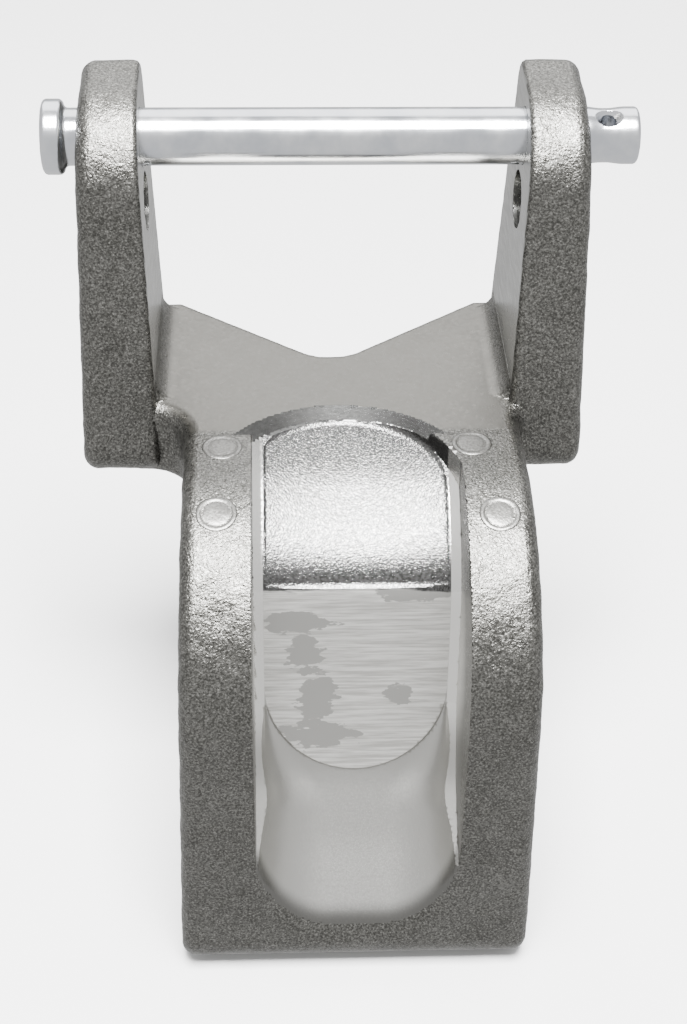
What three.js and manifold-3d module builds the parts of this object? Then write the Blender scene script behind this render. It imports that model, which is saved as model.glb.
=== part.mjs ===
// Boat bow fitting: a one-piece cast bracket with a chain groove and two ears, and a headed cross pin.
// Millimetres, +Z up. X runs along the pin, +Y points aft and -Y points forward, over the bow.
// Heights in the dimensions below are measured from the flat deck of the plate. The exported group is
// then moved so that its origin lies on the flat foot, under the middle plane of the ears.

import * as THREE from "three";
import { mergeVertices } from "three/addons/utils/BufferGeometryUtils.js";
import Module from "manifold-3d";

const wasm = await Module();
wasm.setup();

// ---- driving dimensions -------------------------------------------------------------------------

const PIN_SIDES = 48;
const PIN_RADIUS = 6.35;
const PIN_Y = 35;
const PIN_Z = 56;
const PIN_TIP_X = 68;
const PIN_TIP_CHAMFER = 1;
const NECK_RADIUS = 6;
const NECK_START_X = 57.5;
const NECK_END_X = 64.5;
const HEAD_RADIUS = 8.3;
const HEAD_INNER_X = -59.6;
const HEAD_OUTER_X = -64.2;
const HEAD_ROUND = 1.4;
const HEAD_FILLET = 1.2;
const CROSS_HOLE_X = 61;
const CROSS_HOLE_RADIUS = 1.7;
const CROSS_HOLE_SINK = 0.6;
const CROSS_HOLE_TILT = THREE.MathUtils.degToRad(22.5);

const PIN_CLEARANCE = 0.08;
const SPARE_HOLE_RADIUS = 6.6;
const SPARE_HOLE_Y = PIN_Y - 1;
const SPARE_HOLE_Z = PIN_Z - 15.3;

const GAP_HALF = 40.9;
const GAP_DRAFT = 0.03;
const EAR_OUTER = 58;
const EAR_OUTER_DRAFT = 0.03;
const EAR_FRONT = 10.6;
const EAR_FRONT_LEAN = 0.15;
const EAR_BACK = 57.7;
const EAR_BACK_LEAN = 0.08;
const EAR_TOP = 69.2;
const EAR_TOP_TILT = 0.1;
const EAR_BOTTOM = -19.5;
const NOSE_ROUND = 15.3;
const HEEL_ROUND = 5.5;
const TOE_ROUND = 8.5;
const EAR_EDGE = 2.6;

const PLATE_THICKNESS = 11;
const PLATE_EDGE = 1.5;
const WEB_BACK = 24;
const NOTCH_Y = 29.3;
const NOTCH_SLOPE = Math.atan(0.756);
const NOTCH_ROUND = 11;
const EAR_FILLET = 4.5;
const NECK_LEFT = 10;
const NECK_RIGHT = 5;

const BOW_MIDDLE_X = 4.3;
const BOW_HALF = 38.3;
const BOW_DRAFT = 0.027;
const BOW_ARC = 42;
const BOW_FRONT = -57;
const BOW_BACK_TOP = 12;
const BOW_BACK_FOOT = 3;
const BOW_EDGE = 3.6;
const FOOT_Z = -118;
const FOOT_ROUND = 10;

const RECESS_RADIUS = 31.3;
const RECESS_X = 1;
const RECESS_Y = -20.4;
const RECESS_DEPTH = 3.2;
const RECESS_SLOPE = 1.1;
const RECESS_FRONT = -0.9;

const GROOVE_FLOOR_HALF = 9;
const GROOVE_WALL_HALF = 22.8;
const GROOVE_SPREAD = 0.01;
const GROOVE_REACH = 75;
const GROOVE_RISE = THREE.MathUtils.degToRad(38);
const GROOVE_STEPS = 26;
const SADDLE_DISH = 0.12;
const GROOVE_FLOOR = [
  [17, 5],
  [9, -0.6],
  [-2, -4.5],
  [-14, -9.7],
  [-23.5, -17],
  [-29.5, -25],
  [-32.2, -46.5],
  [-36, -71],
  [-45, -87],
  [-57, -103],
  [-70, -121],
];

const MILLED_TOP = new THREE.Vector2(-29.1, -22);
const MILLED_END = new THREE.Vector2(-36, -70.8);
const MILLED_HALF = 20.9;
const MILLED_DEPTH = 0.5;
const MILLED_REACH = 9;

// ---- helpers ------------------------------------------------------------------------------------

function toSolid(geometry) {
  geometry.deleteAttribute("normal");
  geometry.deleteAttribute("uv");
  const merged = mergeVertices(geometry, 1e-4);
  return new wasm.Manifold(new wasm.Mesh({
    numProp: 3,
    vertProperties: new Float32Array(merged.attributes.position.array),
    triVerts: new Uint32Array(merged.index.array),
  }));
}

function toGeometry(solid) {
  const mesh = solid.getMesh();
  const geometry = new THREE.BufferGeometry();
  geometry.setAttribute("position", new THREE.BufferAttribute(mesh.vertProperties, 3));
  geometry.setIndex(new THREE.BufferAttribute(mesh.triVerts, 1));
  geometry.computeVertexNormals();
  return geometry;
}

function movePoints(geometry, place) {
  const points = geometry.attributes.position;
  const point = new THREE.Vector3();
  for (let i = 0; i < points.count; i += 1) {
    place(point.fromBufferAttribute(points, i));
    points.setXYZ(i, point.x, point.y, point.z);
  }
  return geometry;
}

// An outline drawn in (Y, Z) and extruded along X.
function extrudeAcross(outline, options) {
  const turn = new THREE.Matrix4().makeBasis(
    new THREE.Vector3(0, 1, 0),
    new THREE.Vector3(0, 0, 1),
    new THREE.Vector3(1, 0, 0),
  );
  return new THREE.ExtrudeGeometry(outline, options).applyMatrix4(turn);
}

function crossDrill(radius, y, z) {
  const drill = new THREE.CylinderGeometry(radius, radius, 3 * EAR_OUTER, PIN_SIDES);
  return toSolid(drill.rotateZ(Math.PI / 2).translate(0, y, z));
}

function bevelled(depth, edge, segments) {
  return {
    depth: depth - 2 * edge,
    bevelSize: edge,
    bevelThickness: edge,
    bevelOffset: -edge,
    bevelSegments: segments,
    curveSegments: 7,
  };
}

// ---- bracket: ears ------------------------------------------------------------------------------

const earInnerX = (z) => GAP_HALF + GAP_DRAFT * z;
const earOuterX = (z) => EAR_OUTER - EAR_OUTER_DRAFT * z;
const earFrontY = (z) => EAR_FRONT + EAR_FRONT_LEAN * z;
const earBackY = (z) => EAR_BACK - EAR_BACK_LEAN * z;
const earTopZ = (y) => EAR_TOP - EAR_TOP_TILT * (EAR_BACK - y);

function earOutline() {
  const frontLean = Math.atan(EAR_FRONT_LEAN);
  const topTilt = Math.atan(EAR_TOP_TILT);
  const backLean = Math.atan(EAR_BACK_LEAN);
  const noseZ = earTopZ(PIN_Y) - NOSE_ROUND;
  const heelZ = EAR_TOP - HEEL_ROUND;
  const toeZ = EAR_BOTTOM + TOE_ROUND;
  const outline = new THREE.Shape();
  outline.absarc(earBackY(heelZ) - HEEL_ROUND, heelZ, HEEL_ROUND, backLean, Math.PI / 2 + topTilt);
  outline.absarc(
    earFrontY(noseZ) + NOSE_ROUND, noseZ, NOSE_ROUND, Math.PI / 2 + topTilt, Math.PI - frontLean,
  );
  outline.absarc(earFrontY(toeZ) + TOE_ROUND, toeZ, TOE_ROUND, Math.PI - frontLean, 1.5 * Math.PI);
  outline.lineTo(earBackY(EAR_BOTTOM), EAR_BOTTOM);
  return outline;
}

function ear(side) {
  const width = EAR_OUTER - GAP_HALF;
  const geometry = extrudeAcross(earOutline(), bevelled(width, EAR_EDGE, 3));
  movePoints(geometry, (point) => {
    const across = (point.x + EAR_EDGE) / width;
    point.x = THREE.MathUtils.lerp(earInnerX(point.z), earOuterX(point.z), across);
  });
  const solid = toSolid(geometry);
  return side > 0 ? solid : solid.mirror([1, 0, 0]);
}

// Concave strip in the corner between the deck of the plate and the inner face of an ear.
function earFillet(side) {
  const start = GAP_HALF - EAR_FILLET;
  const corner = new THREE.Shape();
  corner.moveTo(GAP_HALF + 2, -2);
  corner.lineTo(GAP_HALF + 2, EAR_FILLET);
  corner.lineTo(GAP_HALF, EAR_FILLET);
  corner.absarc(start, EAR_FILLET, EAR_FILLET, 0, -Math.PI / 2, true);
  corner.lineTo(start, -2);
  const length = EAR_BACK - EAR_FRONT - 2 * EAR_EDGE;
  const strip = new THREE.ExtrudeGeometry(corner, {
    depth: length, bevelEnabled: false, curveSegments: 6,
  });
  const solid = toSolid(strip.rotateX(Math.PI / 2).translate(0, EAR_BACK - EAR_EDGE, 0));
  return side > 0 ? solid : solid.mirror([1, 0, 0]);
}

// ---- bracket: plate -----------------------------------------------------------------------------

// A slab with its top on the deck. Its front edge runs in two concave necks from the bow block to the
// ears, and rearEdge draws the rest of its outline, from the right ear to the left one.
function slab(thickness, rearEdge) {
  const bowLeft = BOW_MIDDLE_X - BOW_HALF;
  const bowRight = BOW_MIDDLE_X + BOW_HALF;
  const reach = GAP_HALF + 8;
  const outline = new THREE.Shape();
  outline.moveTo(bowLeft, -NECK_LEFT);
  outline.lineTo(bowRight, -NECK_LEFT);
  outline.absarc(bowRight + NECK_RIGHT, EAR_FRONT - NECK_RIGHT, NECK_RIGHT, Math.PI, Math.PI / 2, true);
  outline.lineTo(reach, EAR_FRONT);
  rearEdge(outline, reach);
  outline.lineTo(-reach, EAR_FRONT);
  outline.absarc(bowLeft - NECK_LEFT, EAR_FRONT - NECK_LEFT, NECK_LEFT, Math.PI / 2, 0, true);
  const geometry = new THREE.ExtrudeGeometry(outline, bevelled(thickness, PLATE_EDGE, 2));
  return toSolid(geometry.translate(0, 0, PLATE_EDGE - thickness));
}

function notchedEdge(outline, reach) {
  const back = EAR_BACK - EAR_EDGE;
  const cornerX = (back - NOTCH_Y) / Math.tan(NOTCH_SLOPE);
  const notchMiddle = NOTCH_Y + NOTCH_ROUND / Math.cos(NOTCH_SLOPE);
  outline.lineTo(reach, back);
  outline.lineTo(cornerX, back);
  outline.absarc(
    0, notchMiddle, NOTCH_ROUND, NOTCH_SLOPE - Math.PI / 2, -NOTCH_SLOPE - Math.PI / 2, true,
  );
  outline.lineTo(-cornerX, back);
  outline.lineTo(-reach, back);
}

function webEdge(outline, reach) {
  outline.lineTo(reach, WEB_BACK);
  outline.lineTo(-reach, WEB_BACK);
}

// The plate, and under its front part the deep web that ties the ears to the bow block.
function plate() {
  return slab(PLATE_THICKNESS, notchedEdge).add(slab(-EAR_BOTTOM, webEdge));
}

// ---- bracket: bow block -------------------------------------------------------------------------

function bowBlock() {
  const arcY = BOW_FRONT + BOW_ARC;
  const footY = BOW_FRONT + FOOT_ROUND;
  const outline = new THREE.Shape();
  outline.absarc(arcY, -BOW_ARC, BOW_ARC, Math.PI / 2, Math.PI);
  outline.absarc(footY, FOOT_Z + FOOT_ROUND, FOOT_ROUND, Math.PI, 1.5 * Math.PI);
  outline.lineTo(BOW_BACK_FOOT, FOOT_Z);
  outline.lineTo(BOW_BACK_TOP, 0);
  const width = 2 * BOW_HALF;
  const geometry = extrudeAcross(outline, bevelled(width, BOW_EDGE, 3));
  movePoints(geometry, (point) => {
    const across = point.x + BOW_EDGE - BOW_HALF;
    point.x = BOW_MIDDLE_X + across * (1 - BOW_DRAFT * point.z / BOW_HALF);
  });
  return toSolid(geometry);
}

// ---- bracket: cuts ------------------------------------------------------------------------------

function recessCut() {
  const rise = 10;
  const low = RECESS_RADIUS - RECESS_SLOPE * RECESS_DEPTH;
  const high = RECESS_RADIUS + RECESS_SLOPE * rise;
  const cone = new THREE.CylinderGeometry(high, low, RECESS_DEPTH + rise, 60);
  cone.rotateX(Math.PI / 2).translate(RECESS_X, RECESS_Y, (rise - RECESS_DEPTH) / 2);
  const slot = new THREE.BoxGeometry(4 * RECESS_RADIUS, 2 * RECESS_RADIUS, 4 * rise);
  slot.translate(RECESS_X, RECESS_RADIUS + RECESS_FRONT, 0);
  return toSolid(cone).intersect(toSolid(slot));
}

// The groove: its floor follows GROOVE_FLOOR down over the bow, and it opens forward and up. It is a
// shallow dish at the top, over the saddle, and a deep U from the middle down.
function grooveCut() {
  const corner = GROOVE_WALL_HALF - GROOVE_FLOOR_HALF;
  const open = GROOVE_WALL_HALF + GROOVE_SPREAD * (GROOVE_REACH - corner);
  const section = new THREE.Shape();
  section.moveTo(-open, GROOVE_REACH);
  section.lineTo(-GROOVE_WALL_HALF, corner);
  section.absarc(-GROOVE_FLOOR_HALF, corner, corner, Math.PI, 1.5 * Math.PI);
  section.absarc(GROOVE_FLOOR_HALF, corner, corner, 1.5 * Math.PI, 2 * Math.PI);
  section.lineTo(open, GROOVE_REACH);
  const floor = new THREE.CatmullRomCurve3(GROOVE_FLOOR.map(([y, z]) => new THREE.Vector3(0, y, z)));
  const geometry = new THREE.ExtrudeGeometry(section, {
    depth: 1, steps: GROOVE_STEPS, bevelEnabled: false, curveSegments: 4,
  });
  movePoints(geometry, (point) => {
    const foot = floor.getPoint(point.z);
    const dish = THREE.MathUtils.lerp(SADDLE_DISH, 1, THREE.MathUtils.smoothstep(point.z, 0.15, 0.6));
    const height = point.y - (1 - dish) * Math.min(point.y, corner);
    point.x += BOW_MIDDLE_X;
    point.y = foot.y - height * Math.cos(GROOVE_RISE);
    point.z = foot.z + height * Math.sin(GROOVE_RISE);
  });
  return toSolid(geometry);
}

// Seen from above, the groove runs out behind inside the round recess.
function groovePlan() {
  const radius = RECESS_RADIUS - RECESS_SLOPE * RECESS_DEPTH;
  const height = -3 * FOOT_Z;
  const disc = new THREE.CylinderGeometry(radius, radius, height, 60);
  disc.rotateX(Math.PI / 2).translate(RECESS_X, RECESS_Y, 0);
  const ahead = new THREE.BoxGeometry(2 * radius, height, height);
  ahead.translate(RECESS_X, RECESS_Y - height / 2, 0);
  return toSolid(disc).add(toSolid(ahead));
}

// The steep flat of the groove: a milled slot with a round lower end.
function milledCut() {
  const down = MILLED_END.clone().sub(MILLED_TOP);
  const length = down.length();
  const slope = Math.atan2(-down.x, -down.y);
  const outline = new THREE.Shape();
  outline.moveTo(MILLED_HALF, 0);
  outline.lineTo(-MILLED_HALF, 0);
  outline.absarc(0, MILLED_HALF - length, MILLED_HALF, Math.PI, 2 * Math.PI);
  const geometry = new THREE.ExtrudeGeometry(outline, {
    depth: MILLED_REACH + MILLED_DEPTH, bevelEnabled: false, curveSegments: 16,
  });
  geometry.translate(0, 0, -MILLED_DEPTH);
  geometry.rotateX(Math.PI / 2 - slope);
  geometry.translate(BOW_MIDDLE_X, MILLED_TOP.x, MILLED_TOP.y);
  return toSolid(geometry);
}

// ---- bracket ------------------------------------------------------------------------------------

function bracket() {
  let solid = plate().add(bowBlock());
  for (const side of [-1, 1]) {
    solid = solid.add(ear(side)).add(earFillet(side));
  }
  const groove = grooveCut().add(milledCut()).intersect(groovePlan());
  solid = solid.subtract(recessCut()).subtract(groove);
  solid = solid.subtract(crossDrill(PIN_RADIUS + PIN_CLEARANCE, PIN_Y, PIN_Z));
  solid = solid.subtract(crossDrill(SPARE_HOLE_RADIUS, SPARE_HOLE_Y, SPARE_HOLE_Z));
  return toGeometry(solid);
}

// ---- cross pin ----------------------------------------------------------------------------------

function pinProfile() {
  const fillet = HEAD_INNER_X + HEAD_FILLET;
  const chamfer = PIN_TIP_X - PIN_TIP_CHAMFER;
  const path = new THREE.Path();
  path.moveTo(0, HEAD_OUTER_X);
  path.lineTo(HEAD_RADIUS - HEAD_ROUND, HEAD_OUTER_X);
  path.absarc(HEAD_RADIUS - HEAD_ROUND, HEAD_OUTER_X + HEAD_ROUND, HEAD_ROUND, 1.5 * Math.PI, 2 * Math.PI);
  path.lineTo(HEAD_RADIUS, HEAD_INNER_X);
  path.lineTo(PIN_RADIUS + HEAD_FILLET, HEAD_INNER_X);
  path.absarc(PIN_RADIUS + HEAD_FILLET, fillet, HEAD_FILLET, 1.5 * Math.PI, Math.PI, true);
  path.lineTo(PIN_RADIUS, NECK_START_X - 1);
  path.lineTo(NECK_RADIUS, NECK_START_X);
  path.lineTo(NECK_RADIUS, CROSS_HOLE_X);
  path.lineTo(PIN_RADIUS, NECK_END_X);
  path.lineTo(PIN_RADIUS, chamfer);
  path.lineTo(PIN_RADIUS - PIN_TIP_CHAMFER, PIN_TIP_X);
  path.lineTo(0, PIN_TIP_X);
  return path.getPoints(5);
}

function crossHole() {
  const reach = 2 * PIN_RADIUS;
  let cut = toSolid(new THREE.CylinderGeometry(CROSS_HOLE_RADIUS, CROSS_HOLE_RADIUS, 2 * reach, 20));
  for (const side of [-1, 1]) {
    const sink = new THREE.CylinderGeometry(CROSS_HOLE_RADIUS + reach, CROSS_HOLE_RADIUS, reach, 20);
    sink.translate(0, NECK_RADIUS - CROSS_HOLE_SINK + reach / 2, 0);
    if (side < 0) {
      sink.rotateX(Math.PI);
    }
    cut = cut.add(toSolid(sink));
  }
  const turn = THREE.MathUtils.radToDeg(CROSS_HOLE_TILT);
  return cut.rotate([90 + turn, 0, 0]).translate([CROSS_HOLE_X, 0, 0]);
}

function crossPin() {
  const lathe = new THREE.LatheGeometry(pinProfile(), PIN_SIDES).rotateZ(-Math.PI / 2);
  return toGeometry(toSolid(lathe).subtract(crossHole()));
}

// ---- assembly -----------------------------------------------------------------------------------

const castMetal = new THREE.MeshStandardMaterial({ color: 0x9d9b95, roughness: 0.55, metalness: 1 });
const pinMetal = new THREE.MeshStandardMaterial({ color: 0xc8ccd0, roughness: 0.25, metalness: 1 });

const bracketMesh = new THREE.Mesh(bracket(), castMetal);
bracketMesh.name = "bow_bracket";

const pinMesh = new THREE.Mesh(crossPin(), pinMetal);
pinMesh.name = "cross_pin";
pinMesh.position.set(0, PIN_Y, PIN_Z);

const assembly = new THREE.Group();
assembly.name = "bow_fitting";
assembly.position.set(0, (BOW_BACK_FOOT - BOW_FRONT) / 2 - 2, -FOOT_Z);
assembly.add(bracketMesh, pinMesh);

export default assembly;
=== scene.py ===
"""Looks of the bow fitting: a blasted casting with a chain groove, and a zinc-plated cross pin.

Shapes are written as distance fields in millimetres, in the fitting's own frame: X along the pin, -Y
forward over the bow, and z = 0 on the deck between the ears. SHIFT moves that frame onto the CAD frame.
"""

import math

import bpy
import numpy as np
from mathutils import Matrix, Vector


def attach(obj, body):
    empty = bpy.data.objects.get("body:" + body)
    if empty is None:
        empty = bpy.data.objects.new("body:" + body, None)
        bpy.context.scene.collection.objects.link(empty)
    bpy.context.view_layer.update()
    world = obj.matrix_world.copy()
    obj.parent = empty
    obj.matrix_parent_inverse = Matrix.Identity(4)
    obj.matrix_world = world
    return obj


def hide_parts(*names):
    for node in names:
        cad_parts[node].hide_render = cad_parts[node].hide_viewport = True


# ---- driving dimensions (mm) --------------------------------------------------------------------

SHIFT = np.array([0.0, 28.0, 118.0])
# Where z = 0 and y = 0 of the fitting's frame lie in the CAD frame (m).
DECK_HEIGHT, DECK_START = SHIFT[2] * 0.001, SHIFT[1] * 0.001

CAST_STEP = 0.85
PIN_STEP = 0.5

PIN_RADIUS = 6.35
PIN_Y, PIN_Z = 35.0, 56.0
PIN_TIP_X = 68.0
PIN_CLEARANCE = 0.08
HEAD_RADIUS = 8.3
HEAD_OUTER_X, HEAD_INNER_X = -64.2, -59.6
NECK_RADIUS, NECK_X, NECK_HALF = 6.0, 60.5, 3.4
CROSS_HOLE_RADIUS, CROSS_HOLE_X, CROSS_HOLE_TILT = 1.7, 61.0, math.radians(22.5)

SPARE_RADIUS = 6.6
SPARE_Y, SPARE_Z = 34.0, 40.7

GAP_HALF, GAP_DRAFT = 40.9, 0.03
EAR_OUTER, EAR_OUTER_DRAFT = 58.0, 0.03
EAR_FRONT, EAR_FRONT_LEAN = 10.6, 0.15
EAR_BACK, EAR_BACK_LEAN = 57.7, 0.08
EAR_TOP, EAR_TOP_TILT, EAR_BOTTOM = 69.2, 0.10, -19.5
NOSE_ROUND, HEEL_ROUND, TOE_ROUND = 15.3, 5.5, 8.5
EAR_FILLET = 4.5

DECK_THICKNESS, WEB_DEPTH, WEB_BACK = 10.5, 19.3, 27.0
NOTCH_Y, NOTCH_SLOPE, NOTCH_ROUND = 29.3, 0.756, 7.6
NECK_LEFT, NECK_RIGHT = 10.0, 5.0

BOW_X, BOW_HALF, BOW_DRAFT = 4.3, 38.3, 0.027
BOW_FRONT, BOW_ARC = -57.0, 42.0
BOW_BACK_TOP, BOW_BACK_FOOT = 12.0, 3.0
BOW_EDGE = 3.6
FOOT_Z, FOOT_ROUND = -118.0, 10.0

RECESS_X, RECESS_Y, RECESS_RADIUS = 1.0, -20.4, 31.3
RECESS_DEPTH, RECESS_SLOPE = 1.7, 2.2

GROOVE_RISE = math.radians(38.0)
GROOVE_FLOOR = (
    (24.0, 5.5), (12.0, 1.6), (7.0, 0.2), (0.0, -2.2), (-4.2, -3.7),
    (-9.0, -5.6), (-14.0, -8.3), (-19.0, -11.7), (-23.5, -15.5), (-27.0, -19.6),
    (-29.7, -25.0), (-36.0, -71.0), (-45.0, -86.0), (-56.5, -102.0), (-72.0, -123.0),
)
GROOVE_HALF, GROOVE_DRAFT = 23.3, 0.01
STRIP_HALF, STRIP_SLOPE = 20.9, 0.45
SADDLE_DISH, SADDLE_STEP = 110.0, 0.15
SADDLE_X, SADDLE_Y, SADDLE_RADIUS = 2.0, -18.0, 25.5
TROUGH_CORNER, TROUGH_STEP = 17.0, 0.7
LAND_RISE, LAND_BACK = 0.8, -0.9

PAD_RISE, PAD_END = 0.5, 78.0
STRIP_END = 62.0
PAD_START = 35.5

# Each round mark: across, back, and the height that the search for the skin starts from.
MARK_PLACES = (
    (-26.3, -27.9, 6.0), (34.7, -28.6, 6.0), (-25.4, -6.4, 6.0),
    (30.5, -5.7, 6.0), (-49.0, 33.0, 72.0), (49.0, 33.0, 72.0),
)
# Radius and height of the rings of a mark, from its middle out.
MARK_PROFILE = (
    (0.6, 0.10), (1.5, 0.10), (2.4, 0.10), (2.9, 0.02), (3.2, -0.03),
    (3.5, 0.12), (3.9, 0.22), (4.3, 0.12), (4.7, -0.1),
)
MARK_DEPTH, MARK_SIDES = 0.5, 48

# ---- camera -------------------------------------------------------------------------------------

CAMERA_AZIMUTH = math.radians(2.66)
CAMERA_ELEVATION = math.radians(37.73)
CAMERA_ROLL = math.radians(1.04)
CAMERA_DISTANCE = 0.420
CAMERA_TARGET = (0.00179, 0.018, 0.10294)
CAMERA_LENS = 43.36
CAMERA_SENSOR = 24.0


# ---- distance fields: joins and rounded edges ---------------------------------------------------

def round_edge(a, b, radius):
    """What lies inside both a and b, with the edge between them rounded off."""
    sharp = np.minimum(np.maximum(a, b), -radius)
    return sharp + np.hypot(np.maximum(a + radius, 0), np.maximum(b + radius, 0))


def fillet(a, b, radius):
    """What lies inside a or b, with a concave fillet in the corner between them."""
    sharp = np.maximum(np.minimum(a, b), radius)
    return sharp - np.hypot(np.maximum(radius - a, 0), np.maximum(radius - b, 0))


def smooth_step(value, start, end):
    t = np.clip((value - start) / (end - start), 0, 1)
    return t * t * (3 - 2 * t)


def unit_slope(distance, slope):
    return distance / math.hypot(1, slope)


# ---- distance fields: the casting ---------------------------------------------------------------

def ear_side(y, z):
    front = unit_slope(EAR_FRONT + EAR_FRONT_LEAN * z - y, EAR_FRONT_LEAN)
    back = unit_slope(y - EAR_BACK + EAR_BACK_LEAN * z, EAR_BACK_LEAN)
    top = unit_slope(z - EAR_TOP + EAR_TOP_TILT * (EAR_BACK - y), EAR_TOP_TILT)
    side = round_edge(front, top, NOSE_ROUND)
    side = round_edge(side, back, HEEL_ROUND)
    return round_edge(side, EAR_BOTTOM - z, TOE_ROUND - 5.0 * smooth_step(y, 25, 40))


def ears(x, y, z):
    side = ear_side(y, z)
    across = np.abs(x)
    outer = across - EAR_OUTER + EAR_OUTER_DRAFT * z
    inner = GAP_HALF + GAP_DRAFT * z - across
    return round_edge(round_edge(side, outer, 3.4), inner, 1.3)


def ear_fillets(x, y, z):
    across = np.abs(x)
    start = GAP_HALF - EAR_FILLET
    hollow = EAR_FILLET - np.hypot(across - start, z - EAR_FILLET)
    strip = np.maximum(np.maximum(hollow, start - across), across - GAP_HALF - 2)
    strip = np.maximum(strip, np.maximum(z - EAR_FILLET, -4 - z))
    return round_edge(strip, ear_side(y, np.zeros_like(z)) + 2.0, 2.5)


def deck(x, y, z):
    across = np.abs(x)
    notch_a = unit_slope(y - NOTCH_Y - NOTCH_SLOPE * x, NOTCH_SLOPE)
    notch_b = unit_slope(y - NOTCH_Y + NOTCH_SLOPE * x, NOTCH_SLOPE)
    notch = fillet(notch_a, notch_b, NOTCH_ROUND)
    wings = np.maximum(np.maximum(EAR_FRONT - y, across - GAP_HALF - 6), y - EAR_BACK + 1)
    bow = np.maximum(np.abs(x - BOW_X) - BOW_HALF, np.maximum(-14 - y, y - WEB_BACK))
    neck = NECK_RIGHT + (NECK_LEFT - NECK_RIGHT) * smooth_step(-x, -10, 10)
    plan = np.maximum(fillet(wings, bow, neck), notch)
    edge = BOW_EDGE - 2.1 * smooth_step(y, 12, 26)
    web = 1 - smooth_step(y, WEB_BACK - 5, WEB_BACK)
    thickness = DECK_THICKNESS + (WEB_DEPTH - DECK_THICKNESS) * web
    return round_edge(plan, np.abs(z + thickness / 2) - thickness / 2, edge)


def bow_side(y, z):
    side = round_edge(z, BOW_FRONT - y, BOW_ARC)
    side = round_edge(side, FOOT_Z - z, FOOT_ROUND)
    lean = (BOW_BACK_TOP - BOW_BACK_FOOT) / -FOOT_Z
    back = unit_slope(y - BOW_BACK_TOP - lean * z, lean)
    return round_edge(side, back, 2.0)


def bow_block(x, y, z):
    flank = np.abs(x - BOW_X) - BOW_HALF + BOW_DRAFT * z
    block = round_edge(bow_side(y, z), flank, BOW_EDGE)
    lands = round_edge(bow_side(y, z - LAND_RISE), flank, BOW_EDGE)
    return np.minimum(block, round_edge(lands, y - LAND_BACK, 1.2))


def groove_table():
    """Height of the groove floor against the way down it, both measured square to the opening."""
    floor = np.array(GROOVE_FLOOR)
    down = -floor[:, 0] * math.sin(GROOVE_RISE) - floor[:, 1] * math.cos(GROOVE_RISE)
    height = -floor[:, 0] * math.cos(GROOVE_RISE) + floor[:, 1] * math.sin(GROOVE_RISE)
    way = np.arange(down[0], down[-1], 0.25)
    profile = np.interp(way, down, height)
    kernel = np.exp(-0.5 * (np.arange(-40, 41) / 11.0) ** 2)
    smooth = np.convolve(np.pad(profile, 40, mode="edge"), kernel / kernel.sum(), mode="valid")
    return way, smooth, np.gradient(smooth, way)


WAY, FLOOR, STEEPNESS = groove_table()


def groove_above(y, z):
    """Distance out from the groove floor, and how far down the groove the point lies (0 to 1)."""
    down = -y * math.sin(GROOVE_RISE) - z * math.cos(GROOVE_RISE)
    height = -y * math.cos(GROOVE_RISE) + z * math.sin(GROOVE_RISE)
    rise = height - np.interp(down, WAY, FLOOR)
    tilt = np.hypot(1, np.interp(down, WAY, STEEPNESS))
    return rise / tilt, down


def groove_wall(x, y, z):
    return np.abs(x - BOW_X) - GROOVE_HALF - GROOVE_DRAFT * np.minimum(bow_side(y, z), 0)


def pad_outline(x, down):
    """Distance to the edge of the raised pad, which has a round lower end, seen square on."""
    run = np.clip(down, -80, PAD_END - STRIP_HALF)
    return np.hypot(x - BOW_X, down - run) - STRIP_HALF


def groove(x, y, z):
    """The groove as cast: a dished saddle, a raised pad below it, and a deep U from there down."""
    above, down = groove_above(y, z)
    wall = np.abs(x - BOW_X) - STRIP_HALF - (GROOVE_HALF - STRIP_HALF) * smooth_step(down, 60, 80)
    aside = np.minimum(np.abs(x - BOW_X), STRIP_HALF)
    dish = (STRIP_HALF ** 2 - aside ** 2) / (2 * SADDLE_DISH) * (1 - 0.75 * smooth_step(down, 14, 34))
    saddle = -SADDLE_STEP - dish
    pad = -TROUGH_STEP + (PAD_RISE + TROUGH_STEP) * smooth_step(-pad_outline(x, down), -0.5, 0.5)
    level = saddle + (pad - saddle) * smooth_step(down, PAD_START - 2, PAD_START + 1)
    corner = 1.0 + (TROUGH_CORNER - 1.0) * smooth_step(down, 60, 88)
    start = np.hypot(x - SADDLE_X, np.maximum(y - SADDLE_Y, 0)) - SADDLE_RADIUS
    return round_edge(round_edge(level - above, wall, corner), start, 1.5)


def milled(x, y, z):
    """The machined pass down the groove. It cuts the pad flat and leaves a sloping strip on each side."""
    above, down = groove_above(y, z)
    aside = np.abs(x - BOW_X)
    middle = np.maximum(pad_outline(x, down), -above)
    side = STRIP_SLOPE * (aside - STRIP_HALF) + 0.3 * np.maximum(down - STRIP_END, 0)
    strips = np.maximum(np.maximum(side - above, groove_wall(x, y, z)), -above)
    inside = np.hypot(x - RECESS_X, np.maximum(y - RECESS_Y, 0)) - RECESS_RADIUS
    inside = inside + RECESS_SLOPE * RECESS_DEPTH
    return np.maximum(np.minimum(middle, strips), inside)


def recess(x, y, z):
    """The shallow turned recess that leads from the deck into the groove."""
    cone = np.hypot(x - RECESS_X, y - RECESS_Y) - RECESS_RADIUS - RECESS_SLOPE * z
    cone = unit_slope(cone, RECESS_SLOPE)
    cut = np.maximum(cone, np.maximum(-RECESS_DEPTH - z, z - 8))
    return np.maximum(cut, LAND_BACK - y)


def ripple(x, y, z):
    """Slow unevenness of the cast skin."""
    broad = np.sin(0.47 * x + 1.3 * np.sin(0.31 * z)) * np.sin(0.53 * y + 0.9) * np.sin(0.44 * z + 2.1)
    fine = np.sin(1.3 * x + 0.8 * z) * np.sin(1.5 * y - 0.4 * x) * np.sin(1.2 * z + 0.7 * y)
    return 0.16 * broad + 0.04 * fine


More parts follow.
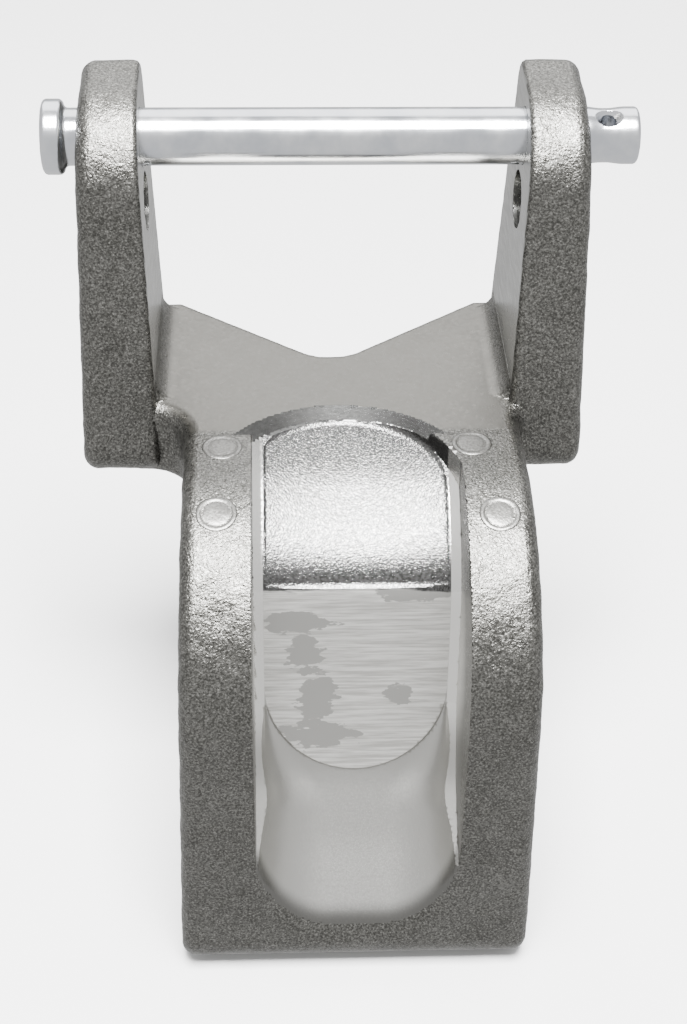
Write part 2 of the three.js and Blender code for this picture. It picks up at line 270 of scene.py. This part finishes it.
def drilled(y, z, centre_y, centre_z, radius):
    return np.hypot(y - centre_y, z - centre_z) - radius


def casting(x, y, z):
    solid = np.minimum(ears(x, y, z), np.minimum(deck(x, y, z), ear_fillets(x, y, z)))
    solid = np.minimum(solid, bow_block(x, y, z))
    solid = round_edge(solid, -groove(x, y, z), 0.7 + 2.3 * smooth_step(-z, 78, 102))
    off_deck = smooth_step(np.abs(z), 0.5, 3.0)
    off_gap = 1 - smooth_step(z, 1, 4) * (1 - smooth_step(np.abs(x) - GAP_HALF - GAP_DRAFT * z, 0.3, 2.5))
    off_groove = np.maximum(smooth_step(groove_wall(x, y, z), -0.5, 2.0), smooth_step(y, 8, 12))
    solid = solid + ripple(x, y, z) * (0.2 + 0.8 * off_deck) * off_gap * off_groove
    solid = np.maximum(solid, -recess(x, y, z))
    solid = np.maximum(solid, -milled(x, y, z))
    solid = np.maximum(solid, -drilled(y, z, PIN_Y, PIN_Z, PIN_RADIUS + PIN_CLEARANCE))
    solid = np.maximum(solid, -drilled(y, z, SPARE_Y, SPARE_Z, SPARE_RADIUS))
    return np.maximum(solid, FOOT_Z - z)


# ---- distance field: the cross pin --------------------------------------------------------------

def cross_pin(x, y, z):
    radius = np.hypot(y - PIN_Y, z - PIN_Z)
    neck = PIN_RADIUS - NECK_RADIUS
    waist = neck * (1 - smooth_step(np.abs(x - NECK_X), NECK_HALF - 2.8, NECK_HALF + 1.2))
    shank = round_edge(radius - PIN_RADIUS + waist, x - PIN_TIP_X, 0.9)
    shank = np.maximum(shank, HEAD_OUTER_X + 1 - x)
    middle = (HEAD_OUTER_X + HEAD_INNER_X) / 2
    half = (HEAD_INNER_X - HEAD_OUTER_X) / 2
    head = round_edge(radius - HEAD_RADIUS, np.abs(x - middle) - half, 1.1)
    solid = fillet(shank, head, 1.2)
    across = -(y - PIN_Y) * math.cos(CROSS_HOLE_TILT) - (z - PIN_Z) * math.sin(CROSS_HOLE_TILT)
    along = -(y - PIN_Y) * math.sin(CROSS_HOLE_TILT) + (z - PIN_Z) * math.cos(CROSS_HOLE_TILT)
    bore = np.hypot(x - CROSS_HOLE_X, across)
    sink = (bore - CROSS_HOLE_RADIUS + NECK_RADIUS - 1.2 - np.abs(along)) * 0.7
    return np.maximum(solid, -np.minimum(bore - CROSS_HOLE_RADIUS, sink))


# ---- surfaces from distance fields --------------------------------------------------------------

TETRA = np.array([[1, -1, -1], [-1, -1, 1], [-1, 1, -1], [1, 1, 1]], float)


def gradient(field, points, reach=0.02):
    total = np.zeros_like(points)
    for corner in TETRA:
        probe = points + corner * reach
        total += corner * field(probe[:, 0], probe[:, 1], probe[:, 2])[:, None]
    return total / np.maximum(np.linalg.norm(total, axis=1), 1e-9)[:, None]


def contour(field, low, high, step):
    """Dual contouring: one vertex per crossed cell, placed where the surface's planes there meet."""
    axes = [np.arange(low[a], high[a] + step, step) for a in range(3)]
    size = [len(a) for a in axes]
    value = field(axes[0][:, None, None], axes[1][None, :, None], axes[2][None, None, :])
    value = np.broadcast_to(value, size)
    inside = value < 0
    origin = np.array([a[0] for a in axes])
    stride = np.array([size[1] * size[2], size[2], 1])
    cells, points, normals, quads = [], [], [], []
    for axis in range(3):
        lower = [slice(None)] * 3
        upper = [slice(None)] * 3
        lower[axis] = slice(0, -1)
        upper[axis] = slice(1, None)
        crossed = np.argwhere(inside[tuple(lower)] != inside[tuple(upper)])
        nearer = value[tuple(crossed.T)]
        beyond = crossed.copy()
        beyond[:, axis] += 1
        farther = value[tuple(beyond.T)]
        point = origin + crossed * step
        point[:, axis] += step * nearer / (nearer - farther)
        normal = gradient(field, point)
        side_a, side_b = (axis + 1) % 3, (axis + 2) % 3
        base = crossed @ stride
        ring = np.stack([
            base, base - stride[side_a], base - stride[side_a] - stride[side_b], base - stride[side_b],
        ], axis=1)
        flip = nearer > 0
        ring[flip] = ring[flip][:, ::-1]
        quads.append(ring)
        for corner in range(4):
            cells.append(ring[:, corner])
            points.append(point)
            normals.append(normal)
    cells, points, normals = np.concatenate(cells), np.concatenate(points), np.concatenate(normals)
    used, place = np.unique(cells, return_inverse=True)
    count = np.bincount(place).astype(float)
    mean = np.stack([np.bincount(place, points[:, a]) for a in range(3)], axis=1) / count[:, None]
    offset = np.einsum("ij,ij->i", normals, points - mean[place])
    matrix = np.zeros((len(used), 3, 3))
    target = np.zeros((len(used), 3))
    for a in range(3):
        target[:, a] = np.bincount(place, normals[:, a] * offset)
        for b in range(3):
            matrix[:, a, b] = np.bincount(place, normals[:, a] * normals[:, b])
    matrix += 0.04 * count[:, None, None] * np.eye(3)
    moved = np.linalg.solve(matrix, target[:, :, None])[:, :, 0]
    length = np.linalg.norm(moved, axis=1)
    moved *= np.minimum(1, 0.9 * step / np.maximum(length, 1e-9))[:, None]
    faces = np.searchsorted(used, np.concatenate(quads))
    return mean + moved, faces


def corner_normals(field, vertices, faces):
    """A normal for each corner of each face, read a little inside the face so that edges stay crisp."""
    corners = vertices[faces]
    centre = corners.mean(axis=1, keepdims=True)
    probe = corners + 0.35 * (centre - corners)
    return gradient(field, probe.reshape(-1, 3))


def make_object(name, vertices, faces, normals, slots):
    mesh = bpy.data.meshes.new(name)
    mesh.vertices.add(len(vertices))
    mesh.vertices.foreach_set("co", ((vertices + SHIFT) * 0.001).astype(np.float32).ravel())
    mesh.loops.add(faces.size)
    mesh.loops.foreach_set("vertex_index", faces.astype(np.int32).ravel())
    mesh.polygons.add(len(faces))
    mesh.polygons.foreach_set("loop_start", np.arange(0, faces.size, 4, dtype=np.int32))
    mesh.polygons.foreach_set("material_index", slots.astype(np.int32))
    mesh.update(calc_edges=True)
    mesh.shade_smooth()
    mesh.normals_split_custom_set(normals.reshape(-1, 3).tolist())
    item = bpy.data.objects.new(name, mesh)
    bpy.context.scene.collection.objects.link(item)
    return item


# ---- which finish each face of the casting has --------------------------------------------------

CAST, GROOVE, BAND, SMOOTH = range(4)


def casting_finish(centre):
    x, y, z = centre.T
    above = groove_above(y, z)[0]
    wall = groove_wall(x, y, z)
    gap = GAP_HALF + GAP_DRAFT * z - np.abs(x)
    finish = np.full(len(centre), CAST)
    cut = np.minimum(np.abs(groove(x, y, z)), np.abs(milled(x, y, z)))
    finish[(cut < 0.45) & (wall < 0.3) & (above < 16) & (y < 7.5)] = GROOVE
    finish[(np.abs(gap) < 0.12) & (z > EAR_FILLET)] = SMOOTH
    finish[np.abs(recess(x, y, z)) < 0.06] = BAND
    for hole_y, hole_z, radius in ((PIN_Y, PIN_Z, PIN_RADIUS), (SPARE_Y, SPARE_Z, SPARE_RADIUS)):
        finish[(np.abs(drilled(y, z, hole_y, hole_z, radius)) < 0.2) & (z > 5)] = SMOOTH
    return finish


# ---- materials ----------------------------------------------------------------------------------

class Nodes:
    """A material's node tree, with short calls for the few nodes used here."""

    def __init__(self, name, color, roughness, metallic=1.0):
        self.material = bpy.data.materials.new(name)
        self.material.use_nodes = True
        self.tree = self.material.node_tree
        self.shader = self.tree.nodes["Principled BSDF"]
        self.shader.inputs["Base Color"].default_value = (*color, 1)
        self.shader.inputs["Metallic"].default_value = metallic
        self.shader.inputs["Roughness"].default_value = roughness
        self.place = self.tree.nodes.new("ShaderNodeTexCoord").outputs["Object"]
        self.relief = None

    def link(self, source, target):
        self.tree.links.new(source, target)

    def stretched(self, scale):
        node = self.tree.nodes.new("ShaderNodeVectorMath")
        node.operation = "MULTIPLY"
        node.inputs[1].default_value = scale
        self.link(self.place, node.inputs[0])
        return node.outputs["Vector"]

    def noise(self, scale, detail=2.0, rough=0.5, distortion=0.0):
        node = self.tree.nodes.new("ShaderNodeTexNoise")
        node.inputs["Scale"].default_value = 1.0
        node.inputs["Detail"].default_value = detail
        node.inputs["Roughness"].default_value = rough
        node.inputs["Distortion"].default_value = distortion
        self.link(self.stretched(scale), node.inputs["Vector"])
        return node.outputs["Fac"]

    def combined(self, first, second):
        node = self.tree.nodes.new("ShaderNodeCombineXYZ")
        self.link(first, node.inputs["X"])
        self.link(second, node.inputs["Y"])
        return node.outputs["Vector"]

    def vector(self, operation, source, value):
        node = self.tree.nodes.new("ShaderNodeVectorMath")
        node.operation = operation
        self.link(source, node.inputs[0])
        node.inputs[1].default_value = value
        return node

    def ellipse(self, place, centre, stretch):
        """1 on the edge of an ellipse, less inside it and more outside."""
        offset = self.vector("SUBTRACT", place, centre).outputs["Vector"]
        scaled = self.vector("MULTIPLY", offset, stretch).outputs["Vector"]
        return self.vector("LENGTH", scaled, (0, 0, 0)).outputs["Value"]

    def axis(self, name):
        node = self.tree.nodes.new("ShaderNodeSeparateXYZ")
        self.link(self.place, node.inputs[0])
        return node.outputs[name]

    def range(self, source, low, high, to_low, to_high, smooth=False):
        node = self.tree.nodes.new("ShaderNodeMapRange")
        node.interpolation_type = "SMOOTHSTEP" if smooth else "LINEAR"
        node.inputs["From Min"].default_value = low
        node.inputs["From Max"].default_value = high
        node.inputs["To Min"].default_value = to_low
        node.inputs["To Max"].default_value = to_high
        self.link(source, node.inputs["Value"])
        return node.outputs["Result"]

    def math(self, operation, first, second):
        node = self.tree.nodes.new("ShaderNodeMath")
        node.operation = operation
        for source, target in ((first, node.inputs[0]), (second, node.inputs[1])):
            if isinstance(source, float):
                target.default_value = source
            else:
                self.link(source, target)
        return node.outputs[0]

    def mix(self, factor, first, second):
        node = self.tree.nodes.new("ShaderNodeMix")
        node.data_type = "RGBA"
        self.link(factor, node.inputs["Factor"])
        for source, target in ((first, node.inputs[6]), (second, node.inputs[7])):
            if isinstance(source, tuple):
                target.default_value = (*source, 1)
            else:
                self.link(source, target)
        return node.outputs[2]

    def bump(self, height, depth, strength=1.0):
        node = self.tree.nodes.new("ShaderNodeBump")
        node.inputs["Distance"].default_value = depth
        if isinstance(strength, float):
            node.inputs["Strength"].default_value = strength
        else:
            self.link(strength, node.inputs["Strength"])
        self.link(height, node.inputs["Height"])
        if self.relief is not None:
            self.link(self.relief, node.inputs["Normal"])
        self.relief = node.outputs["Normal"]
        self.link(self.relief, self.shader.inputs["Normal"])

    def feed(self, name, source):
        self.link(source, self.shader.inputs[name])


def even(scale):
    return (scale, scale, scale)


def cast_metal():
    """The outer skin: coarse and sparkling, but fine and dull on the deck between the ears."""
    nodes = Nodes("cast_stainless", (0.18, 0.178, 0.168), 0.4)
    height = nodes.axis("Z")
    back = nodes.axis("Y")
    deck = nodes.range(height, DECK_HEIGHT - 0.0015, DECK_HEIGHT - 0.0005, 0.0, 1.0, smooth=True)
    low_down = nodes.range(height, DECK_HEIGHT + 0.001, DECK_HEIGHT + 0.004, 1.0, 0.0, smooth=True)
    deck = nodes.math("MULTIPLY", deck, low_down)
    deck = nodes.math("MULTIPLY", deck, nodes.range(back, DECK_START, DECK_START + 0.002, 0.0, 1.0, smooth=True))
    aside = nodes.math("ABSOLUTE", nodes.axis("X"), 0.0)
    deck = nodes.math("MULTIPLY", deck, nodes.range(aside, 0.0375, 0.041, 1.0, 0.0, smooth=True))
    patchy = nodes.range(nodes.noise(even(90), 3.0, 0.6), 0.3, 0.7, 0.0, 1.0)
    skin = nodes.mix(patchy, (0.105, 0.103, 0.095), (0.15, 0.148, 0.138))
    # Bright specks painted into the base colour: painted glints where grains of the skin would catch the lamp.
    painted_glint = nodes.range(nodes.noise(even(2300), 3.0, 0.7), 0.46, 0.68, 0.0, 1.0)
    skin = nodes.mix(painted_glint, skin, (0.30, 0.295, 0.278))
    # Dark specks painted into the base colour: painted shade in the pits of the blasted skin.
    painted_pit_shade = nodes.range(nodes.noise(even(1800), 3.0, 0.7), 0.56, 0.40, 0.0, 0.75)
    skin = nodes.mix(painted_pit_shade, skin, (0.045, 0.044, 0.04))
    nodes.feed("Base Color", nodes.mix(deck, skin, (0.135, 0.131, 0.12)))
    grain = nodes.range(deck, 0.0, 1.0, 1.0, 0.12)
    nodes.bump(nodes.noise(even(650), 2.0, 0.5), 0.00025, nodes.math("MULTIPLY", grain, 0.4))
    nodes.bump(nodes.noise(even(1900), 2.0, 0.6), 0.0002, nodes.math("MULTIPLY", grain, 1.0))
    nodes.feed("Roughness", nodes.range(nodes.noise(even(900), 2.0), 0.3, 0.7, 0.26, 0.42))
    return nodes.material


# Islands of untouched cast skin on the milled pad: across, down, half width, half height (m).
ISLANDS = (
    (-0.0135, 0.0426, 0.0078, 0.0024), (-0.0115, 0.0500, 0.0042, 0.0050), (-0.0085, 0.0600, 0.0046, 0.0052),
    (-0.0085, 0.0694, 0.0085, 0.0034), (0.0095, 0.0600, 0.0034, 0.0026), (0.0135, 0.0365, 0.0085, 0.0016),
)


def groove_metal():
    """The groove: cast saddle, milled pad with cast islands, two smooth strips, and the cast trough, whose light
    grey is painted light.
    """
    nodes = Nodes("groove_metal", (0.3, 0.3, 0.29), 0.35)
    rise_sine, rise_cosine = math.sin(GROOVE_RISE), math.cos(GROOVE_RISE)
    level = nodes.math("MULTIPLY", nodes.math("SUBTRACT", DECK_HEIGHT, nodes.axis("Z")), rise_cosine)
    ahead = nodes.math("MULTIPLY", nodes.math("SUBTRACT", DECK_START, nodes.axis("Y")), rise_sine)
    down = nodes.math("ADD", level, ahead)
    across = nodes.math("SUBTRACT", nodes.axis("X"), BOW_X * 0.001)
    aside = nodes.math("ABSOLUTE", across, 0.0)
    half = STRIP_HALF * 0.001
    run = nodes.math("MINIMUM", down, PAD_END * 0.001 - half)
    beyond = nodes.math("POWER", nodes.math("SUBTRACT", down, run), 2.0)
    outline = nodes.math("SQRT", nodes.math("ADD", nodes.math("POWER", aside, 2.0), beyond), 0.0)
    on_pad = nodes.range(outline, half - 0.0001, half + 0.0001, 1.0, 0.0)
    uneven = nodes.range(nodes.noise((90, 500, 500), 3.0, 0.6), 0.3, 0.7, -0.0008, 0.0008)
    ragged = nodes.math("ADD", down, uneven)
    below = nodes.range(ragged, PAD_START * 0.001 - 0.0003, PAD_START * 0.001 + 0.0003, 0.0, 1.0)
    strip = nodes.range(aside, half - 0.0001, half + 0.0001, 0.0, 1.0)
    wall = nodes.range(aside, GROOVE_HALF * 0.001 - 0.0003, GROOVE_HALF * 0.001 - 0.0001, 1.0, 0.0)
    strip = nodes.math("MULTIPLY", strip, wall)
    run_out = nodes.range(down, STRIP_END * 0.001, STRIP_END * 0.001 + 0.012, 1.0, 0.0, smooth=True)
    strip = nodes.math("MULTIPLY", strip, run_out)
    place = nodes.combined(across, down)
    island = None
    for centre_x, centre_down, half_width, half_height in ISLANDS:
        blob = nodes.ellipse(place, (centre_x, centre_down, 0.0), (1 / half_width, 1 / half_height, 0.0))
        island = blob if island is None else nodes.math("MINIMUM", island, blob)
    torn = nodes.range(nodes.noise((160, 420, 420), 4.0, 0.6), 0.3, 0.7, -0.55, 0.55)
    island = nodes.math("ADD", island, torn)
    island = nodes.range(island, 0.93, 1.0, 1.0, 0.0)
    milled_part = nodes.math("MULTIPLY", on_pad, below)
    milled_part = nodes.math("MULTIPLY", milled_part, nodes.math("SUBTRACT", 1.0, island))
    feed = nodes.noise((70, 1500, 1500), 3.0, 0.65)
    bright = nodes.mix(nodes.range(feed, 0.38, 0.62, 0.0, 1.0), (0.60, 0.59, 0.56), (0.95, 0.94, 0.90))
    speckle = nodes.range(nodes.noise(even(1500), 2.0), 0.35, 0.65, 0.0, 1.0)
    skin = nodes.mix(speckle, (0.085, 0.085, 0.083), (0.15, 0.149, 0.146))
    # Past the start of the pad the cast skin is painted light grey: painted light for the lamp light that the
    # upward-facing trough catches. The cast islands on the pad share this colour.
    lower = nodes.mix(below, skin, (0.46, 0.455, 0.435))
    shade = nodes.mix(milled_part, lower, bright)
    lip = nodes.range(nodes.axis("Y"), DECK_START - 0.0525, DECK_START - 0.0555, 0.0, 1.0, smooth=True)
    lip = nodes.math("MAXIMUM", lip, nodes.math("SUBTRACT", 1.0, wall))
    shade = nodes.mix(lip, shade, (0.15, 0.148, 0.14))
    nodes.feed("Base Color", nodes.mix(strip, shade, (0.80, 0.79, 0.76)))
    plain = nodes.math("SUBTRACT", 1.0, nodes.math("MAXIMUM", strip, below))
    nodes.bump(nodes.noise(even(2100), 2.0, 0.6), 0.00014, nodes.math("MULTIPLY", plain, 1.0))
    nodes.bump(feed, 0.00016, nodes.math("MULTIPLY", milled_part, 0.6))
    rough = nodes.range(nodes.noise(even(2400), 2.0), 0.3, 0.7, 0.20, 0.27)
    nodes.feed("Roughness", nodes.math("ADD", rough, nodes.math("MULTIPLY", below, 0.13)))
    return nodes.material


def band_metal_painted_shade():
    # The turned band's dark grey, darker than the cast skin around it, is painted shade on this steep band at
    # the edge of the recess.
    nodes = Nodes("turned_band_painted_shade", (0.085, 0.085, 0.082), 0.24)
    turned = nodes.noise((900, 900, 3000), 2.0)
    shade = nodes.range(turned, 0.3, 0.7, 0.0, 1.0)
    nodes.feed("Base Color", nodes.mix(shade, (0.07, 0.07, 0.068), (0.10, 0.10, 0.097)))
    nodes.bump(turned, 0.00008, 0.25)
    return nodes.material


def mark_metal():
    nodes = Nodes("ejector_mark", (0.17, 0.168, 0.16), 0.36)
    speckle = nodes.noise(even(1700), 2.0, 0.6)
    shade = nodes.range(speckle, 0.35, 0.65, 0.0, 1.0)
    nodes.feed("Base Color", nodes.mix(shade, (0.13, 0.128, 0.12), (0.21, 0.207, 0.197)))
    nodes.bump(speckle, 0.0002, 0.35)
    return nodes.material


def smooth_metal():
    nodes = Nodes("smooth_cut", (0.26, 0.26, 0.25), 0.3)
    feed = nodes.noise((1200, 160, 900), 2.0)
    nodes.bump(feed, 0.00008, 0.3)
    nodes.feed("Roughness", nodes.range(feed, 0.3, 0.7, 0.24, 0.36))
    return nodes.material


def plated_metal():
    nodes = Nodes("zinc_plate", (0.66, 0.68, 0.71), 0.17)
    drawn = nodes.noise((35, 1400, 1400), 3.0, 0.6)
    cloudy = nodes.noise(even(130), 3.0, 0.6)
    shade = nodes.range(cloudy, 0.35, 0.65, 0, 1)
    nodes.feed("Base Color", nodes.mix(shade, (0.60, 0.62, 0.66), (0.72, 0.73, 0.75)))
    nodes.bump(drawn, 0.00006, 0.3)
    nodes.feed("Roughness", nodes.range(cloudy, 0.3, 0.7, 0.14, 0.24))
    return nodes.material


def floor_paint():
    nodes = Nodes("pale_floor", (0.8, 0.8, 0.8), 0.7, metallic=0.0)
    return nodes.material


# ---- pieces -------------------------------------------------------------------------------------

def build_casting():
    vertices, faces = contour(casting, (-61, -60, -120.5), (61, 61, 72), CAST_STEP)
    finish = casting_finish(vertices[faces].mean(axis=1))
    item = make_object("bow_casting", vertices, faces, corner_normals(casting, vertices, faces), finish)
    for material in (cast_metal(), groove_metal(), band_metal_painted_shade(), smooth_metal()):
        item.data.materials.append(material)
    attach(item, "bracket")
    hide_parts("bow_bracket")


def land_on_casting(points, start, reach):
    """Where the lines down from start cross the skin, found by halving. It may not be the first crossing."""
    high = np.full(len(points), float(start))
    low = high - reach
    for _ in range(22):
        middle = (high + low) / 2
        outside = casting(points[:, 0], points[:, 1], middle) > 0
        high = np.where(outside, middle, high)
        low = np.where(outside, low, middle)
    return np.stack([points[:, 0], points[:, 1], high], axis=1)


def mark_shape(place_x, place_y, start):
    """One round ejector mark, laid on the casting: a low disc with a low ring around it."""
    centre = land_on_casting(np.array([[place_x, place_y]]), start, 40.0)[0]
    normal = gradient(casting, centre[None], 1.5)[0]
    side = np.array([1.0, 0, 0]) - normal[0] * normal
    side /= np.linalg.norm(side)
    other = np.cross(normal, side)
    turn = np.linspace(0, 2 * math.pi, MARK_SIDES, endpoint=False)
    points = [centre + MARK_PROFILE[0][1] * normal]
    for radius, height in MARK_PROFILE:
        ring = centre + radius * (np.cos(turn)[:, None] * side + np.sin(turn)[:, None] * other)
        for _ in range(4):
            ring -= casting(ring[:, 0], ring[:, 1], ring[:, 2])[:, None] * normal
        points.extend(ring + height * normal)
    points.append(centre - MARK_DEPTH * normal)
    rings = len(MARK_PROFILE)
    faces = []
    for step in range(MARK_SIDES):
        beside = (step + 1) % MARK_SIDES
        faces.append((0, 1 + step, 1 + beside))
        for ring in range(rings - 1):
            inner, outer = 1 + ring * MARK_SIDES, 1 + (ring + 1) * MARK_SIDES
            faces.append((inner + step, outer + step, outer + beside, inner + beside))
        outer = 1 + (rings - 1) * MARK_SIDES
        faces.append((outer + beside, outer + step, len(points) - 1))
    return np.array(points), faces


def build_marks():
    points, faces = [], []
    for place in MARK_PLACES:
        shape_points, shape_faces = mark_shape(*place)
        faces.extend(tuple(index + len(points) for index in face) for face in shape_faces)
        points.extend(((shape_points + SHIFT) * 0.001).tolist())
    mesh = bpy.data.meshes.new("ejector_marks")
    mesh.from_pydata(points, [], faces)
    mesh.shade_smooth()
    mesh.materials.append(mark_metal())
    item = bpy.data.objects.new("ejector_marks", mesh)
    bpy.context.scene.collection.objects.link(item)
    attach(item, "bracket")


def build_pin():
    vertices, faces = contour(cross_pin, (-66.03, 25.37, 46.41), (70, 44.5, 65.5), PIN_STEP)
    finish = np.zeros(len(faces), int)
    item = make_object("clevis_pin", vertices, faces, corner_normals(cross_pin, vertices, faces), finish)
    item.data.materials.append(plated_metal())
    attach(item, "pin")
    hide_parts("cross_pin")


# ---- floor, light and camera --------------------------------------------------------------------

def build_floor():
    bpy.ops.mesh.primitive_plane_add(size=6, location=(0, 0, 0))
    floor = bpy.context.object
    floor.name = "floor"
    floor.data.materials.append(floor_paint())
    floor.visible_glossy = False


def area_light(name, place, aim, size, power):
    light = bpy.data.lights.new(name, "AREA")
    light.shape = "RECTANGLE"
    light.size, light.size_y = size
    light.energy = power
    item = bpy.data.objects.new(name, light)
    item.location = place
    item.rotation_euler = (Vector(aim) - Vector(place)).to_track_quat("-Z", "Y").to_euler()
    bpy.context.scene.collection.objects.link(item)


def build_light():
    world = bpy.data.worlds.new("room")
    world.use_nodes = True
    world.node_tree.nodes["Background"].inputs["Color"].default_value = (1, 1, 1, 1)
    world.node_tree.nodes["Background"].inputs["Strength"].default_value = 1.0
    bpy.context.scene.world = world
    area_light("ceiling", (0.0, -0.32, 1.25), (0, -0.02, 0.1), (0.55, 0.5), 110)
    area_light("back_window", (0.0, 1.15, 1.25), (0, 0.0, 0.1), (1.9, 1.3), 26)


def build_camera():
    towards = Vector((
        -math.sin(CAMERA_AZIMUTH) * math.cos(CAMERA_ELEVATION),
        -math.cos(CAMERA_AZIMUTH) * math.cos(CAMERA_ELEVATION),
        math.sin(CAMERA_ELEVATION),
    ))
    right = (-towards).cross(Vector((0, 0, 1))).normalized()
    up = right.cross(-towards)
    turned_right = right * math.cos(CAMERA_ROLL) + up * math.sin(CAMERA_ROLL)
    turned_up = up * math.cos(CAMERA_ROLL) - right * math.sin(CAMERA_ROLL)
    camera = bpy.data.cameras.new("camera")
    camera.sensor_fit = "VERTICAL"
    camera.sensor_height = CAMERA_SENSOR
    camera.lens = CAMERA_LENS
    item = bpy.data.objects.new("camera", camera)
    turn = Matrix((turned_right, turned_up, towards)).transposed().to_4x4()
    item.matrix_world = Matrix.Translation(Vector(CAMERA_TARGET) + towards * CAMERA_DISTANCE) @ turn
    bpy.context.scene.collection.objects.link(item)
    bpy.context.scene.camera = item


# ---- scene --------------------------------------------------------------------------------------


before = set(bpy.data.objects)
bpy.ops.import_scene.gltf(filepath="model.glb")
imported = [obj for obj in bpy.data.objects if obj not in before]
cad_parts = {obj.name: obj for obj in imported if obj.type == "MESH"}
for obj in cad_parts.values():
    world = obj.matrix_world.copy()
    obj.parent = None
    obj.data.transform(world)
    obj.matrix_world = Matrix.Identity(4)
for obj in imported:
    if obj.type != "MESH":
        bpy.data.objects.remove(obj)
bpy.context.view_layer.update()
build_casting()
build_marks()
build_pin()
build_floor()
build_light()
build_camera()
